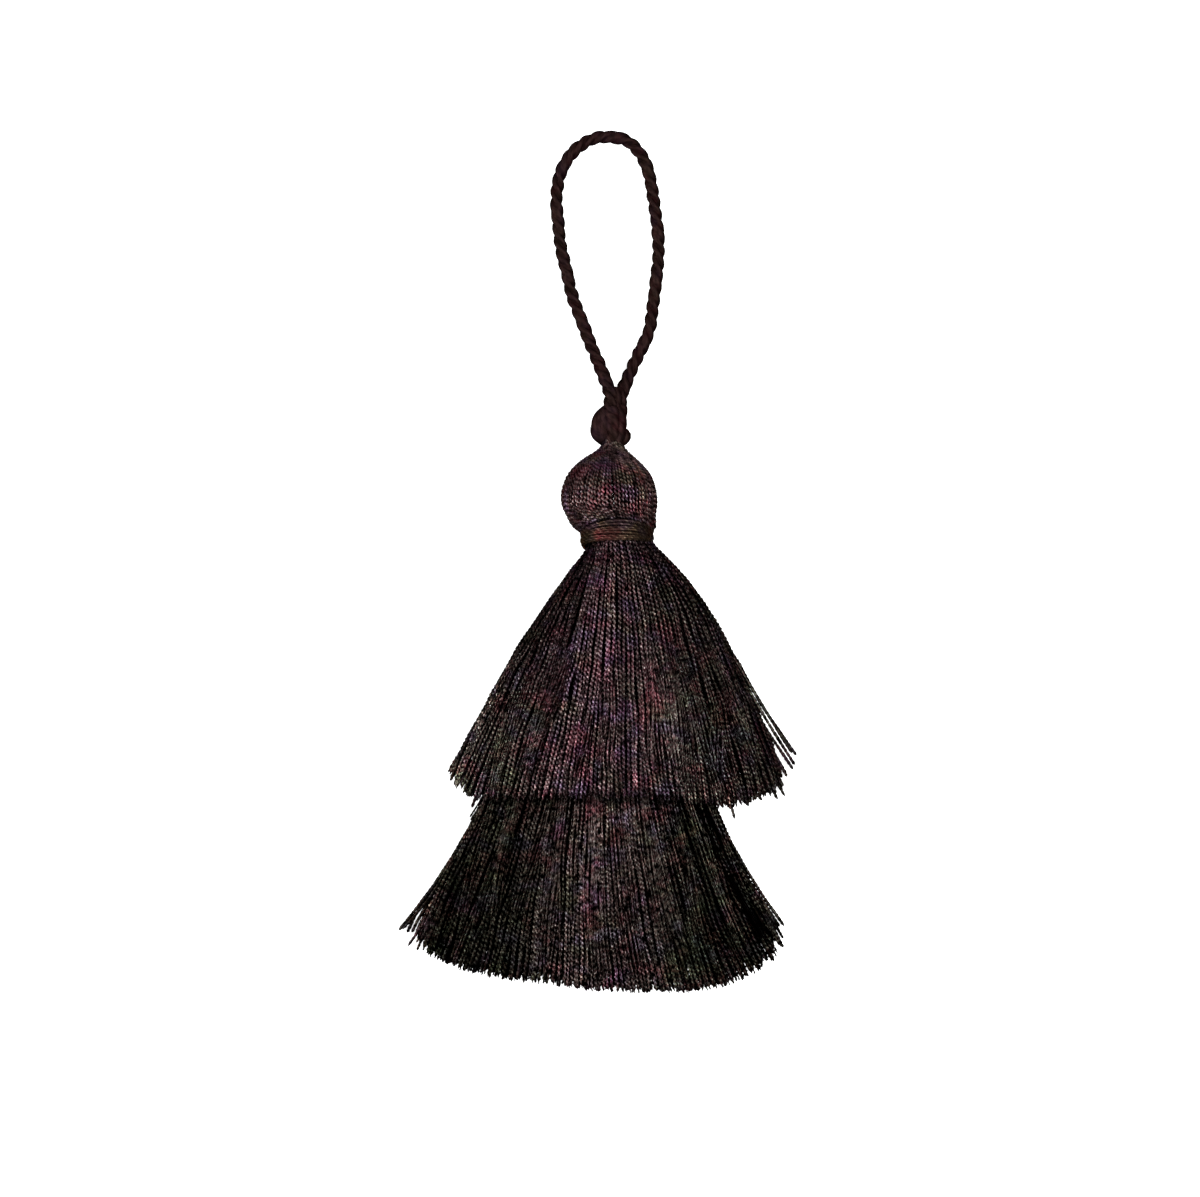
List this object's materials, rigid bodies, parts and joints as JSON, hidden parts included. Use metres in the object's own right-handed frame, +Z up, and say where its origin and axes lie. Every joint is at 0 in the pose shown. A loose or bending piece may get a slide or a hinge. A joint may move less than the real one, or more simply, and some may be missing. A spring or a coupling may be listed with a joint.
{
  "type": "two-tier tassel with hanging loop",
  "caption": "Silky two-tier tassel: round thread head, bound neck, two flared skirts one below the other, and a knotted twisted cord loop, lying on its back.",
  "frame": {"origin": "on the table, under the middle of the tassel's body, the cord loop left out", "axes": "+X to the tassel's right as seen from above, +Y from the hems towards the loop, +Z up from the table towards its front"},
  "size_m": [0.0516, 0.1152, 0.0126],
  "materials": {
    "skirt_thread": "silky, dark brown with faint burgundy, violet and olive tints",
    "binding_thread": "silky, dark brown with olive and red-brown tints",
    "loop_cord": "soft sheen, dark brown"
  },
  "bodies": {
    "root": {"head_and_upper_skirt": "skirt_thread", "lower_skirt": "skirt_thread", "neck_binding": "binding_thread", "knot": "loop_cord", "hanging_loop": "loop_cord"}
  },
  "joints": []
}
